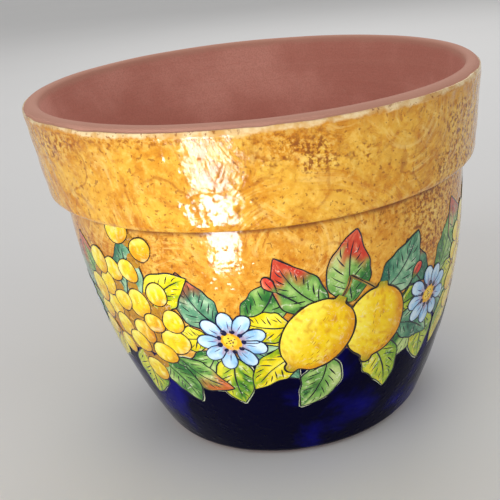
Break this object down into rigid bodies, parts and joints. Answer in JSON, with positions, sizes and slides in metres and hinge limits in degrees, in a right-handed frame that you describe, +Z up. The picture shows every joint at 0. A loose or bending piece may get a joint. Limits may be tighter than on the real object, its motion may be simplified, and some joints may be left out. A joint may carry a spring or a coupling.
{
  "type": "planter",
  "caption": "Flared terracotta flowerpot with a heavy tapered collar, bellied wall, foot ring and drain hole, glazed outside in ochre over cobalt with a painted garland, bare inside.",
  "frame": {"origin": "centre of the foot ring, in the plane the pot stands on", "axes": "+Z up along the pot's axis, out of the mouth; -Y is the side the picture is taken from"},
  "size_m": [0.299, 0.299, 0.24],
  "materials": {
    "terracotta": "matte",
    "cream_glaze": "gloss",
    "ochre_glaze": "gloss",
    "cobalt_glaze": "gloss"
  },
  "bodies": {
    "root": {"clay_body": "terracotta", "rim_line": "cream_glaze", "collar_glaze": "ochre_glaze", "wall_glaze": "ochre_glaze", "foot_glaze": "cobalt_glaze"}
  },
  "joints": []
}
